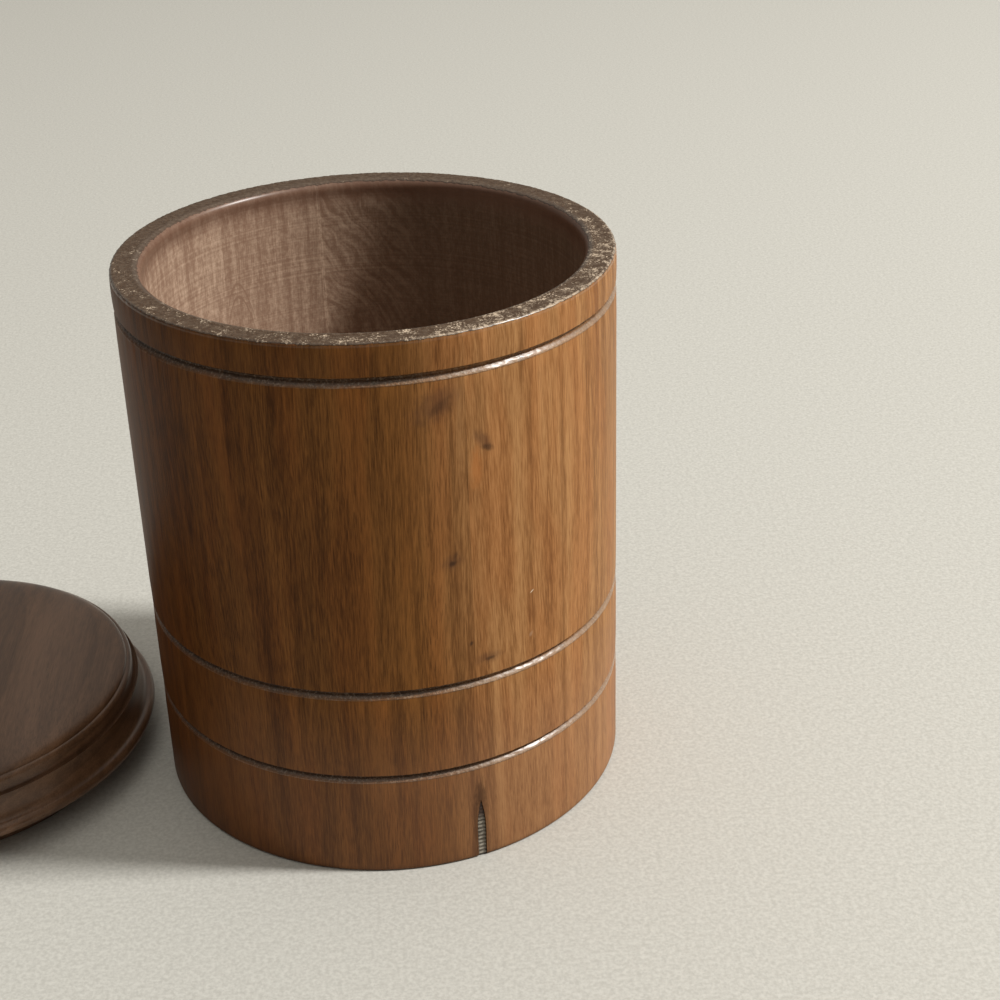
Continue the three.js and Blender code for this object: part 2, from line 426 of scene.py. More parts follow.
def cup_zones_group():
    """Where the cup is bare, rubbed at the rim, painted lit or shaded by side (the paler board lying on the
    lit side), or dark in the lines with old polish and painted shade.
    """
    tree, net, given, wanted = shader_group(
        "Cup zones",
        ("Place", "Radius", "Seat radius", "Height", "Seat depth", "Low line", "Middle line", "Top line"),
        ("Inside", "Seat", "Rim", "Arris", "Lines", "Lips", "Foot", "Low band", "Top band", "Lit side and pale board",
         "Shaded"))
    place = given["Place"]
    height = net.parts(place)["Z"]
    radius = net.from_axis(place)
    below_rim = net.minus(given["Height"], height)
    worn_edge = net.product(net.grain(place, (1.1, 1.1, 1.1), 3.0), 0.5)
    from_wall = net.minus(given["Radius"], radius)
    from_seat = net.minus(radius, given["Seat radius"])
    inside = net.product(net.span(from_seat, 1.6, 1.0), net.span(height, 5.0, 6.0))
    seat_edge = net.minus(below_rim, given["Seat depth"])
    soft_edge = net.scaled(net.grain(place, (0.5, 0.5, 0.3), 3.0), 3.0, seat_edge)

    # Incised lines: old polish and painted shade in the upper part, a lower lip painted pale as wear and as a
    # painted glint
    on_wall = net.span(from_wall, 1.6, 1.3)
    polish = 0.0
    pale_lips = 0.0
    for line in ("Low line", "Middle line", "Top line"):
        above = net.minus(height, given[line])
        polish = net.math("ADD", polish, net.product(net.span(above, -0.75, 0.0), net.span(above, 0.75, 0.5)))
        pale_lips = net.math("ADD", pale_lips, net.product(net.span(above, -0.85, -0.65), net.span(above, 0.0, -0.3)))

    # The side towards the lamp is painted paler as light and holds the paler board; the far side is painted
    # darker as shade
    towards_lamp = net.math("DIVIDE", net.vector("DOT_PRODUCT", place, LIT_SIDE_WAY), radius)
    facing = net.math("DIVIDE", net.vector("DOT_PRODUCT", place, NEAR_WAY), radius)
    # Painted shade: how far the wall is turned away from the lamp and the front
    shaded = net.span(facing, 0.85, -0.35)
    net.feed_all(wanted, {
        "Inside": inside,
        "Seat": net.product(inside, net.span(soft_edge, 2.2, -2.0)),
        "Rim": net.span(net.minus(below_rim, worn_edge), 0.15, 0.0),
        "Arris": net.product(net.span(below_rim, 0.9, 0.6), net.span(from_wall, 0.6, 0.35)),
        "Lines": net.product(polish, on_wall),
        # Painted glint: the pale lips fade out on the shaded side
        "Lips": net.product(pale_lips, on_wall, net.scaled(shaded, -0.75, 1.0)),
        "Foot": net.span(height, 1.2, 0.0),
        "Low band": net.span(height, 37.0, 14.0),
        "Top band": net.span(height, 86.0, 88.0),
        "Lit side and pale board": net.span(net.scaled(height, LIT_SIDE_SLANT, towards_lamp), -0.2, 0.16),
        "Shaded": shaded})
    return tree


def inside_figure_group():
    """Figure of the bare inside: slanting curl, nested arches and raised fuzz."""
    tree, net, given, wanted = shader_group(
        "Inside figure", ("Place", "Radius", "Arch bearing", "Arch height"), ("Curl", "Arches", "Fuzz"))
    place = given["Place"]
    flat = net.unrolled(place, given["Radius"], given["Arch bearing"], given["Arch height"])
    warp = net.vector("SUBTRACT", net.grain(place, (0.12, 0.12, 0.12), output="Color"), (0.5, 0.5, 0.5))
    warped = net.vector("MULTIPLY_ADD", warp, (7.0, 7.0, 0.0), flat)
    inputs = {"Vector": warped, "Angle": CURL_TILT}
    slanted = net.add("ShaderNodeVectorRotate", inputs, rotation_type="Z_AXIS", invert=True).outputs[0]
    parts = net.parts(flat)
    contour = net.scaled(net.product(parts["X"], parts["X"]), 0.7, parts["Y"])
    phase = net.math("FRACT", net.math("DIVIDE", contour, 2.4))
    ring = net.math("ABSOLUTE", net.minus(phase, 0.5))
    near = net.product(
        net.span(net.math("ABSOLUTE", parts["X"]), 4.0, 2.2), net.span(contour, 0.6, -0.2),
        net.span(contour, -7.0, -4.5))
    net.feed_all(wanted, {
        "Curl": net.grain(slanted, (0.14, 0.9, 1.0), 3.0, 0.6),
        "Arches": net.product(net.span(ring, 0.2, 0.03), near),
        "Fuzz": net.grain(place, (1.6, 1.6, 1.1), 4.0, 0.7)})
    return tree


def lathe_marks_group():
    """Fine rings left by the turning tool, on upright and on flat faces alike."""
    tree, net, given, wanted = shader_group("Lathe marks", ("Place", "Marks per mm"), ("Marks",))
    parts = net.parts(given["Place"])
    radius = net.from_axis(given["Place"])
    along = net.product(net.math("ADD", radius, parts["Z"]), given["Marks per mm"])
    waver = net.grain(given["Place"], (0.05, 0.05, 0.05))
    point = net.add("ShaderNodeCombineXYZ", {"X": net.product(waver, 2.0), "Z": along}).outputs[0]
    net.feed(wanted["Marks"], net.grain(point, (1.0, 1.0, 1.0), 3.0, 0.6))
    return tree


def new_material(name):
    """A node material, its net and its Principled shader."""
    material = bpy.data.materials.new(name)
    material.use_nodes = True
    tree = material.node_tree
    return material, Net(tree), tree.nodes["Principled BSDF"]


def lean_on(net, shader, height):
    """Bump from a height in millimetres."""
    bump = net.add("ShaderNodeBump", {"Height": height, "Strength": 1.0, "Distance": MM})
    net.feed(shader.inputs["Normal"], bump.outputs[0])


def varnish(net, shader):
    """The constants of a satin varnish over wood."""
    net.feed_all(shader.inputs, {
        "IOR": 1.45, "Specular IOR Level": 0.1, "Coat Roughness": 0.31, "Coat IOR": 1.5})


def beside_seam(net, place, sizes):
    """Distance to the right of the glue seam."""
    across = (cos(sizes.seam_angle), sin(sizes.seam_angle), 0.0)
    return net.minus(net.vector("DOT_PRODUCT", place, across), sizes.seam_offset * TO_MM)


def varnished_wall(net, groups, sizes, colours, place, zones, timber, marks):
    """Colour of the outer wall: grain, painted light and shade over the two boards' tones, marks and the
    incised lines.
    """
    tone = net.span(net.total(
        (timber["Bands"], 0.24), (timber["Streaks"], 0.26), (timber["Lines"], 0.5), (timber["Rings"], 0.05)),
        0.34, 0.7)
    # Painted light and shade: the side towards the lamp takes the pale colours and the far side the dark
    # ones, over the two boards' own tones
    dark_side = net.ramp(tone, colours.left_deep, colours.left_mid, colours.left_pale)
    pale_side = net.ramp(tone, colours.right_deep, colours.right_mid, colours.right_pale)
    wall = net.mix(zones["Lit side and pale board"], dark_side, pale_side)
    deep = net.mix(zones["Lit side and pale board"], colours.left_deep, colours.right_deep)
    wall = net.mix(net.product(timber["Warmth"], 0.5), wall, colours.warm_tint, "MULTIPLY")
    open_pores = net.scaled(zones["Lit side and pale board"], -0.25, 0.65)
    wall = net.mix(net.product(timber["Pores"], open_pores), wall, deep)
    wall = net.mix(net.product(zones["Low band"], 0.21), wall, colours.foot_tint)
    # Painted shade: the wall away from the lamp is darkened further
    wall = net.mix(zones["Shaded"], wall, colours.far_side_shade, "MULTIPLY")
    top_dark = net.product(zones["Top band"], net.minus(1.0, zones["Lit side and pale board"]))
    wall = net.mix(net.product(top_dark, 0.25), wall, colours.left_deep)
    for mark in marks:
        mask = use_group(
            net, groups["Wall mark"], Place=place, Radius=sizes.radius * TO_MM, Bearing=radians(mark.bearing),
            Height=mark.height, Tilt=radians(mark.tilt), Half_length=mark.long, Half_width=mark.wide)["Mark"]
        wall = net.mix(net.product(mask, mark.strength), wall, getattr(colours, mark.colour))
    grit = net.span(net.grain(place, (2.4, 2.4, 2.4), 2.0, 0.6), 0.5, 0.68)
    # Old polish and painted shade darken the lines, less on the side towards the lamp
    groove_dirt_and_shade = net.mix(net.product(grit, 0.24), colours.dirt_and_shade, colours.line_wear)
    groove_shade_share = net.scaled(zones["Lit side and pale board"], -0.3, 0.8)
    wall = net.mix(net.product(zones["Lines"], groove_shade_share), wall, groove_dirt_and_shade)
    # Painted glint and wear: the lower lips are paler, more on the side towards the lamp
    pale_lips = net.math("ADD", net.total((grit, 0.35), (zones["Lit side and pale board"], 0.3)), 0.14)
    wall = net.mix(net.product(zones["Lips"], pale_lips), wall, colours.line_wear)
    # Darker at the very foot
    return net.mix(net.product(zones["Foot"], 0.4), wall, colours.dirt_and_shade)


def bare_inside(net, groups, sizes, colours, place, zones, timber, turning, curled):
    """Colour of the bare inside and of the seat for the lid, with painted shade on the inner wall that lies
    in shadow, more lower down.
    """
    figure = use_group(
        net, groups["Inside figure"], Place=place, Radius=(sizes.radius - sizes.wall) * TO_MM,
        Arch_bearing=ARCH_BEARING, Arch_height=ARCH_HEIGHT)
    from_seam = net.math("ABSOLUTE", beside_seam(net, place, sizes))
    weave = net.total((timber["Streaks"], 0.25), (timber["Lines"], 0.22))
    if curled:
        near_seam = net.span(from_seam, 24.0, 10.0)
        straight = net.product(weave, net.minus(1.0, near_seam))
        weave = net.total((net.product(figure["Curl"], near_seam), 0.47), (straight, 1.0))
    tone = net.total((weave, 1.0), (figure["Fuzz"], 0.33), (turning, 0.2))
    bare = net.mix(net.span(tone, 0.4, 0.7), colours.bare_deep, colours.bare_pale)
    bare = net.mix(net.product(figure["Arches"], 0.9), bare, colours.bare_deep)
    parts = net.parts(place)
    # Painted shade on the inner wall that lies in shadow, stronger lower down
    inside_shade_mask = net.product(net.span(parts["X"], -18.0, 14.0), net.span(parts["Z"], 72.0, 52.0, 0.75, 0.86))
    bare = net.mix(inside_shade_mask, bare, colours.bare_painted_shade)
    glue = net.product(net.span(from_seam, 0.4, 0.15), net.span(figure["Fuzz"], 0.35, 0.65, 0.1, 0.55))
    bare = net.mix(glue, bare, colours.bare_pale)
    return net.mix(net.product(zones["Seat"], 0.75), bare, colours.seat_tint)


def cup_wood(name, groups, sizes, colours, pith, turn, marks, curled):
    """Varnished outside, bare inside, with the rim's end grain showing wear and painted glints, old polish
    and painted shade in the lines, and painted shade on the inner wall in shadow.
    """
    material, net, shader = new_material(name)
    place = net.place()
    zones = use_group(
        net, groups["Cup zones"], Place=place, Radius=sizes.radius * TO_MM,
        Seat_radius=(sizes.radius - sizes.wall) * TO_MM, Height=sizes.height * TO_MM,
        Seat_depth=sizes.seat_depth * TO_MM, Low_line=sizes.low_line * TO_MM,
        Middle_line=sizes.mid_line * TO_MM, Top_line=sizes.top_line * TO_MM)
    timber = use_group(net, groups["Timber"], Place=net.place(turn), Pith=pith, Ring_spacing=CUP_RING_SPACING)
    turning = use_group(net, groups["Lathe marks"], Place=place, Marks_per_mm=CUP_MARKS_PER_MM)["Marks"]
    wall = varnished_wall(net, groups, sizes, colours, place, zones, timber, marks)
    bare = bare_inside(net, groups, sizes, colours, place, zones, timber, turning, curled)

    # End grain of the rim with fine pale specks: chips of wear and painted glints, more on the side towards
    # the lamp
    fine = net.grain(place, (3.0, 3.0, 3.0), 3.0, 0.65)
    cluster = net.grain(place, (0.45, 0.45, 0.45), 2.0)
    behind = net.span(net.parts(place)["Y"], 0.0, 25.0)
    # Painted glints: more specks on the side towards the lamp, fewer on the shaded side
    speckled = net.total(
        (fine, 1.0), (cluster, 0.6), (zones["Lit side and pale board"], 0.045), (zones["Shaded"], -0.04), (behind, -0.12))
    specks = net.span(speckled, 0.87, 1.03)
    mottle = net.span(net.grain(place, (1.2, 1.2, 1.2), 3.0), 0.35, 0.7)
    end_grain = net.mix(net.product(mottle, 0.09), colours.rim_deep, colours.rim_wear_and_glint)
    rim = net.mix(specks, end_grain, colours.rim_wear_and_glint)
    # Painted highlight along the outer arris on the side towards the lamp
    rim = net.mix(net.product(zones["Arris"], zones["Lit side and pale board"], mottle), rim, colours.rim_wear_and_glint)

    base = net.mix(zones["Inside"], wall, bare)
    net.feed(shader.inputs["Base Color"], net.mix(zones["Rim"], base, rim))

    grooved = net.math("MAXIMUM", zones["Lines"], zones["Lips"])
    bare_only = net.product(zones["Inside"], net.minus(1.0, zones["Seat"]))
    rough = net.total((timber["Lines"], 0.1), (bare_only, 0.36), (grooved, -0.24), (zones["Rim"], -0.14))
    net.feed(shader.inputs["Roughness"], net.math("ADD", rough, 0.42))
    coat = net.total(
        (zones["Rim"], 0.22), (zones["Arris"], 0.75), (zones["Seat"], 0.6), (zones["Lips"], 0.9),
        (zones["Lines"], 0.2))
    net.feed(shader.inputs["Coat Weight"], net.math("ADD", coat, 0.04, clamp=True))

    sparkle = net.grain(place, (2.2, 2.2, 2.2), 2.0, 0.6)
    relief = net.total(
        (timber["Pores"], -0.008), (timber["Lines"], 0.006), (net.product(turning, bare_only), 0.03),
        (net.product(fine, zones["Rim"]), 0.12),
        (net.product(sparkle, net.math("MAXIMUM", grooved, zones["Rim"])), 0.2))
    lean_on(net, shader, relief)
    varnish(net, shader)
    return material


def lid_wood(name, groups, colours, centre, pith):
    """Dark turned wood under satin varnish."""
    material, net, shader = new_material(name)
    middle = (-centre[0] * TO_MM, -centre[1] * TO_MM, 0.0)
    place = net.place(shift=middle)
    grain_place = net.place(turn=LID_GRAIN_TURN)
    timber = use_group(net, groups["Timber"], Place=grain_place, Pith=pith, Ring_spacing=LID_RING_SPACING)
    marks = use_group(net, groups["Lathe marks"], Place=place, Marks_per_mm=LID_MARKS_PER_MM)["Marks"]
    tone = net.total(
        (timber["Bands"], 0.3), (timber["Streaks"], 0.3), (timber["Lines"], 0.4), (timber["Rings"], 0.08))
    wood = net.ramp(net.span(tone, 0.32, 0.74), colours.lid_deep, colours.lid_mid, colours.lid_pale)
    wood = net.mix(net.product(timber["Pores"], 0.5), wood, colours.lid_deep)
    net.feed(shader.inputs["Base Color"], wood)
    net.feed(shader.inputs["Roughness"], net.scaled(timber["Lines"], 0.15, 0.36))
    net.feed(shader.inputs["Coat Weight"], net.scaled(timber["Bands"], 0.3, 0.55))
    lean_on(net, shader, net.total((timber["Pores"], -0.01), (timber["Lines"], 0.008), (marks, 0.015)))
    varnish(net, shader)
    return material


def filler_finish(name, colours, sizes):
    """Hard grey filler, paler on the crests of its ribs as painted highlights on its lit part, and painted
    dark as shade on its side away from the lamp.
    """
    material, net, shader = new_material(name)
    place = net.place()
    blotch = net.grain(place, (1.2, 1.2, 1.2), 3.0)
    speck = net.grain(place, (5.0, 5.0, 5.0), 2.0)
    height = net.parts(place)["Z"]
    above_foot = net.minus(height, sizes.filler_foot * TO_MM)
    crest = net.math("COSINE", net.product(above_foot, 2 * pi / (sizes.rib_pitch * TO_MM)))
    tone = net.span(net.total((blotch, 0.5), (speck, 0.5), (crest, -0.14)), 0.3, 0.75)
    # Painted shade on the side away from the lamp, where the split's wall shades the filler
    lit_side = net.span(beside_seam(net, place, sizes), 0.45, -0.2, 0.1, 1.0)
    grey = net.mix(net.product(tone, lit_side), colours.filler_dark_and_shade, colours.filler_pale_and_glint)
    tip = net.span(net.scaled(blotch, 1.5, height), 7.6, 9.8)
    net.feed(shader.inputs["Base Color"], net.mix(tip, grey, colours.knot_core))
    net.feed(shader.inputs["Roughness"], net.scaled(speck, 0.2, 0.5))
    lean_on(net, shader, net.total((speck, 0.03), (blotch, 0.05)))
    return material


def floor_finish(name, stage):
    """Pale matt board with faint mottling."""
    material, net, shader = new_material(name)
    place = net.place()
    mottle = net.grain(place, (0.8, 0.8, 0.8), 3.0, 0.6)
    tooth = net.grain(place, (1.6, 1.6, 1.6), 3.0, 0.6)
    tone = net.span(net.total((mottle, 0.4), (tooth, 0.6)), 0.3, 0.7)
    net.feed(shader.inputs["Base Color"], net.mix(tone, stage.floor_deep, stage.floor_pale))
    net.feed(shader.inputs["Roughness"], net.scaled(tooth, 0.1, 0.75))
    lean_on(net, shader, net.product(tooth, 0.03))
    shader.inputs["Specular IOR Level"].default_value = 0.2
    return material


# Modelling by hand

def pick(piece):
    """Select one piece only and make it the active one."""
    bpy.ops.object.select_all(action="DESELECT")
    piece.select_set(True)
    bpy.context.view_layer.objects.active = piece


def rename(piece, name):
    piece.name = name
    piece.data.name = name


def new_plate(name, size):
    """A square plate at the origin, in edit mode."""
    bpy.ops.object.select_all(action="DESELECT")
    bpy.ops.mesh.primitive_plane_add(size=size)
    piece = bpy.context.object
    rename(piece, name)
    bpy.ops.object.mode_set(mode="EDIT")
    return piece


def turn(name, profile, steps, centre=(0.0, 0.0, 0.0)):
    """Draw a profile of radius and height out from one point, and spin it about an upright axis."""
    piece = new_plate(name, MM)
    bpy.ops.mesh.select_mode(type="VERT")
    bpy.ops.mesh.merge(type="CENTER")
    points = [Vector((centre[0] + radius, centre[1], height)) for radius, height in profile]
    bpy.ops.transform.translate(value=points[0])
    for here, there in zip(points, points[1:]):
        bpy.ops.mesh.extrude_vertices_move(TRANSFORM_OT_translate={"value": there - here})
    bpy.ops.mesh.select_all(action="SELECT")
    bpy.ops.mesh.spin(steps=steps, angle=2 * pi, center=centre, axis=(0.0, 0.0, 1.0))
    bpy.ops.mesh.select_all(action="SELECT")
    bpy.ops.mesh.remove_doubles(threshold=MERGE_DISTANCE)
    close_up()
    return piece


def arc(centre, radii, start, end, steps):
    """Points along an elliptic arc, both ends included, angles in degrees."""
    points = []
    for step in range(steps + 1):
        turned = radians(start + (end - start) * step / steps)
        points.append((centre[0] + radii[0] * cos(turned), centre[1] + radii[1] * sin(turned)))
    return points


def run(start, end, steps):
    """Points along a straight line, both ends left out."""
    return [
        (start[0] + (end[0] - start[0]) * step / steps, start[1] + (end[1] - start[1]) * step / steps)
        for step in range(1, steps)]


def close_up():
    """Turn all faces outwards and leave edit mode."""
    bpy.ops.mesh.select_all(action="SELECT")
    bpy.ops.mesh.normals_make_consistent(inside=False)
    bpy.ops.object.mode_set(mode="OBJECT")


def select_where(piece, test):
    """In edit mode, select only the vertices whose place passes the test."""
    bpy.ops.mesh.select_mode(type="VERT")
    bpy.ops.mesh.select_all(action="DESELECT")
    mesh = bmesh.from_edit_mesh(piece.data)
    for vertex in mesh.verts:
        vertex.select_set(test(vertex.co))
    mesh.select_flush(True)
    bmesh.update_edit_mesh(piece.data)


def wear_down(piece, name, test, deepest, grain_size):
    """Press shallow uneven dents into the vertices whose place passes the test."""
    piece.vertex_groups.new(name=name)
    bpy.ops.object.mode_set(mode="EDIT")
    select_where(piece, test)
    bpy.ops.object.vertex_group_assign()
    bpy.ops.object.mode_set(mode="OBJECT")
    texture = bpy.data.textures.new(name, "CLOUDS")
    texture.noise_scale = grain_size
    texture.noise_depth = 2
    dents = piece.modifiers.new(name, "DISPLACE")
    dents.texture = texture
    dents.texture_coords = "LOCAL"
    dents.vertex_group = name
    dents.strength = deepest
    dents.mid_level = 1.0
    bpy.ops.object.modifier_apply(modifier=name)


def finish_piece(piece, material, body, node):
    """Smooth the round faces, and tie the piece to the frame."""
    pick(piece)
    bpy.ops.object.shade_smooth_by_angle(angle=SMOOTH_ANGLE)
    piece.data.materials.clear()
    piece.data.materials.append(material)
    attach(piece, body)
    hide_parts(node)


def draw_up_slot(name, width, depth, foot, tip, taper, steps, cuts=0):
    """An upright tongue with a pointed top: a plate drawn up in steps, narrowed over its taper."""
    blunt_tip = 0.04
    piece = new_plate(name, 1.0)
    bpy.ops.transform.resize(value=(width, depth, 1.0))
    bpy.ops.transform.translate(value=(0.0, 0.0, foot))
    if cuts:
        bpy.ops.mesh.subdivide(number_cuts=cuts)
    shoulder = tip - taper
    here = foot
    share = 1.0
    for there in steps:
        bpy.ops.mesh.extrude_region_move(TRANSFORM_OT_translate={"value": (0.0, 0.0, there - here)})
        along = max(0.0, (there - shoulder) / taper)
        next_share = max(1.0 - along ** 2, blunt_tip)
        bpy.ops.transform.resize(value=(next_share / share, 1.0, 1.0))
        here = there
        share = next_share
    close_up()
    return piece


def seam_front(sizes):
    """How far in front of the axis the seam meets the wall."""
    return sqrt(sizes.radius ** 2 - sizes.seam_offset ** 2)


def set_in_seam(piece, sizes, distance):
    """Move a piece made at the origin to the seam, so far in front of the cup's axis, for good."""
    pick(piece)
    seam_turn = Matrix.Rotation(sizes.seam_angle, 4, "Z")
    piece.matrix_world = seam_turn @ Matrix.Translation((sizes.seam_offset, -distance, 0.0))
    bpy.ops.object.transform_apply(location=True, rotation=True, scale=True)


# The cup

def incised_line(sizes, height, width):
    """A line with a steep upper side, a long lower side and eased lips."""
    eased_lip = 0.12 * MM
    lean = 1.6
    hollowness = 1.1
    steps = 16
    half = width / 2 + eased_lip
    points = []
    for step in range(steps + 1):
        along = step / steps
        depth = sizes.line_depth * sin(pi * along ** lean) ** hollowness if 0 < step < steps else 0.0
        points.append((sizes.radius - depth, height + (2 * along - 1) * half))
    return points


def cup_profile(sizes):
    """Radius and height along the cup: underside, wall with its lines, rim, mouth, bore and floor."""
    ring_width = 4 * MM
    wall_step = 4 * MM
    top = sizes.height
    radius = sizes.radius
    seat = radius - sizes.wall
    bore = seat - sizes.seat_step
    foot = sizes.foot_round
    outer = sizes.rim_outer_round
    inner = sizes.rim_inner_round
    hollow_edge = radius - ring_width
    ledge = top - sizes.seat_depth
    fillet = (bore - sizes.floor_round, sizes.base + sizes.floor_round)

    underside = [(0.0, sizes.foot_hollow), (hollow_edge - MM, sizes.foot_hollow), (hollow_edge, 0.0)]
    foot_arris = arc((radius - foot, foot), (foot, foot), -90, 0, 4)
    lines = [
        incised_line(sizes, sizes.low_line, sizes.low_line_width),
        incised_line(sizes, sizes.mid_line, sizes.mid_line_width),
        incised_line(sizes, sizes.top_line, sizes.top_line_width),
    ]
    rim = arc((radius - outer, top - outer), (outer, outer), 0, 90, 5)
    rim_end = arc((seat + inner, top - inner), (inner, inner), 90, 180, 6)
    rim += run(rim[-1], rim_end[0], 8) + rim_end
    wall = list(foot_arris)
    for line in lines:
        wall += run(wall[-1], line[0], max(2, round((line[0][1] - wall[-1][1]) / wall_step))) + line
    wall += run(wall[-1], rim[0], 3) + rim
    mouth = run(rim[-1], (seat, ledge + sizes.seat_ease), 3)
    for step in range(7):
        along = step / 6
        inward = sizes.seat_step * along ** 2 * (3 - 2 * along)
        mouth.append((seat - inward, ledge + sizes.seat_ease * (1 - along)))
    bored = [mouth.pop()]
    floor_arc = arc(fillet, (sizes.floor_round, sizes.floor_round), 0, -90, 7)
    bored += run(bored[0], floor_arc[0], 14) + floor_arc
    floor = run(floor_arc[-1], (0.0, sizes.base), 8) + [(0.0, sizes.base)]
    return underside + wall + mouth + bored + floor


def cut_split(cup, sizes):
    """Cut the open split out of the foot of the wall."""
    reach = sizes.radius + MM - seam_front(sizes) + sizes.split_depth
    foot = -MM
    shoulder = sizes.split_height - sizes.split_taper
    steps = [shoulder] + [shoulder + sizes.split_taper * part / 8 for part in range(1, 9)]
    cutter = draw_up_slot(
        "split_cutter", sizes.split_width, reach, foot, sizes.split_height, sizes.split_taper, steps)
    set_in_seam(cutter, sizes, seam_front(sizes) - sizes.split_depth + reach / 2)
    pick(cup)
    cut = cup.modifiers.new("split", "BOOLEAN")
    cut.operation = "DIFFERENCE"
    cut.solver = "EXACT"
    cut.object = cutter
    bpy.ops.object.modifier_apply(modifier="split")
    bpy.data.objects.remove(cutter)


def keep_side(piece, sizes, side):
    """Keep the part of the cup on one side of the glue line."""
    across = Vector((cos(sizes.seam_angle), sin(sizes.seam_angle), 0.0))
    cut_at = across * (sizes.seam_offset + side * sizes.seam_gap / 2)
    pick(piece)
    bpy.ops.object.mode_set(mode="EDIT")
    bpy.ops.mesh.select_all(action="SELECT")
    bpy.ops.mesh.bisect(
        plane_co=cut_at, plane_no=across * -side, use_fill=True, clear_outer=True,
        threshold=MERGE_DISTANCE / 10)
    bpy.ops.object.mode_set(mode="OBJECT")


# Knots, streaks and chips of the wall: angles in degrees, heights and half sizes in millimetres
Mark = namedtuple("Mark", "bearing height tilt long wide strength colour")

LEFT_MARKS = (
    Mark(12.9, 82.6, 30, 5.4, 3.0, 0.5, "knot_stain"),
    Mark(13.1, 82.2, 38, 2.4, 0.9, 0.35, "knot_core"),
    Mark(14.7, 56.4, 20, 2.2, 1.6, 0.35, "knot_stain"),
    Mark(14.7, 56.2, 20, 0.8, 0.6, 0.8, "knot_core"),
    Mark(15.3, 57.4, 65, 1.2, 0.35, 0.35, "knot_core"),
    Mark(18.1, 41.4, 70, 0.55, 0.4, 0.75, "knot_core"),
    Mark(6.0, 53.0, 90, 30.0, 0.35, 0.4, "left_deep"),
    Mark(10.0, 68.0, 90, 22.0, 0.3, 0.45, "left_deep"),
    Mark(15.6, 76.0, 90, 12.0, 0.35, 0.4, "left_deep"),
    Mark(17.4, 78.0, 90, 11.0, 0.9, 0.3, "right_pale"),
    Mark(18.7, 71.0, 90, 7.0, 0.25, 0.5, "left_deep"),
    Mark(18.7, 12.0, 90, 4.5, 0.9, 0.6, "knot_core"),
    Mark(17.6, 6.0, 90, 9.0, 0.7, 0.45, "knot_core"),
)
RIGHT_MARKS = (
    Mark(22.6, 75.6, 130, 2.6, 1.2, 0.5, "knot_stain"),
    Mark(23.6, 74.3, -20, 1.3, 0.7, 0.65, "knot_core"),
    Mark(20.8, 71.4, 88, 4.4, 1.2, 0.6, "knot_glow"),
    Mark(22.2, 38.1, 4, 3.0, 1.2, 0.4, "knot_stain"),
    Mark(22.4, 37.9, 4, 1.3, 0.4, 0.6, "knot_core"),
    Mark(34.1, 47.2, 30, 0.5, 0.11, 0.95, "pale_fleck"),
    Mark(33.5, 39.5, 50, 0.6, 0.4, 0.14, "pale_fleck"),
    Mark(32.6, 86.8, 90, 6.5, 0.6, 0.8, "right_deep"),
    Mark(44.0, 47.0, 90, 45.0, 0.4, 0.5, "right_deep"),
    Mark(19.1, 12.0, 90, 4.5, 0.9, 0.6, "knot_core"),
    Mark(20.2, 6.0, 90, 9.0, 0.6, 0.4, "knot_core"),
)


def shared_groups():
    """The shader groups, made once."""
    makers = {
        "Timber": timber_group, "Cup zones": cup_zones_group, "Lathe marks": lathe_marks_group,
        "Wall mark": wall_mark_group, "Inside figure": inside_figure_group}
    return {name: bpy.data.node_groups.get(name) or make() for name, make in makers.items()}


class TURNED_CUP_OT_turn_cup(Operator):
    """Turn the cup, cut its split, and part it at the glue seam"""

    bl_idname = "turned_cup.turn_cup"
    bl_label = "Cup Halves"

    def execute(self, context):
        sizes = context.scene.turned_cup.cup
        colours = context.scene.turned_cup.colours
        groups = shared_groups()
        left = turn("cup_left_wood", cup_profile(sizes), CUP_STEPS)
        top = sizes.height
        flat_start = sizes.radius - sizes.wall + sizes.rim_inner_round
        wear_down(
            left, "rim_wear", lambda at: at.z > top - RIM_WEAR_REACH and at.xy.length > flat_start,
            sizes.rim_wear, RIM_WEAR_GRAIN)
        lines = (sizes.low_line, sizes.mid_line, sizes.top_line)
        outer = sizes.radius - MM
        wear_down(
            left, "line_wear",
            lambda at: at.xy.length > outer and min(abs(at.z - line) for line in lines) < LINE_WEAR_REACH,
            sizes.line_wear, LINE_WEAR_GRAIN)
        cut_split(left, sizes)
        bpy.ops.object.duplicate()
        right = context.object
        rename(right, "cup_right_wood")
        keep_side(left, sizes, -1)
        keep_side(right, sizes, 1)
        left_finish = cup_wood(
            "left_half_wood", groups, sizes, colours, pith=(-26.0, 35.0, 0.0), turn=(0.02, -0.02, 0.0),
            marks=LEFT_MARKS, curled=False)
        right_finish = cup_wood(
            "right_half_wood", groups, sizes, colours, pith=(60.0, 48.0, 0.0), turn=(0.015, 0.03, 0.0),
            marks=RIGHT_MARKS, curled=True)
        finish_piece(left, left_finish, "cup", "cup_left_half")
        finish_piece(right, right_finish, "cup", "cup_right_half")
        return {"FINISHED"}


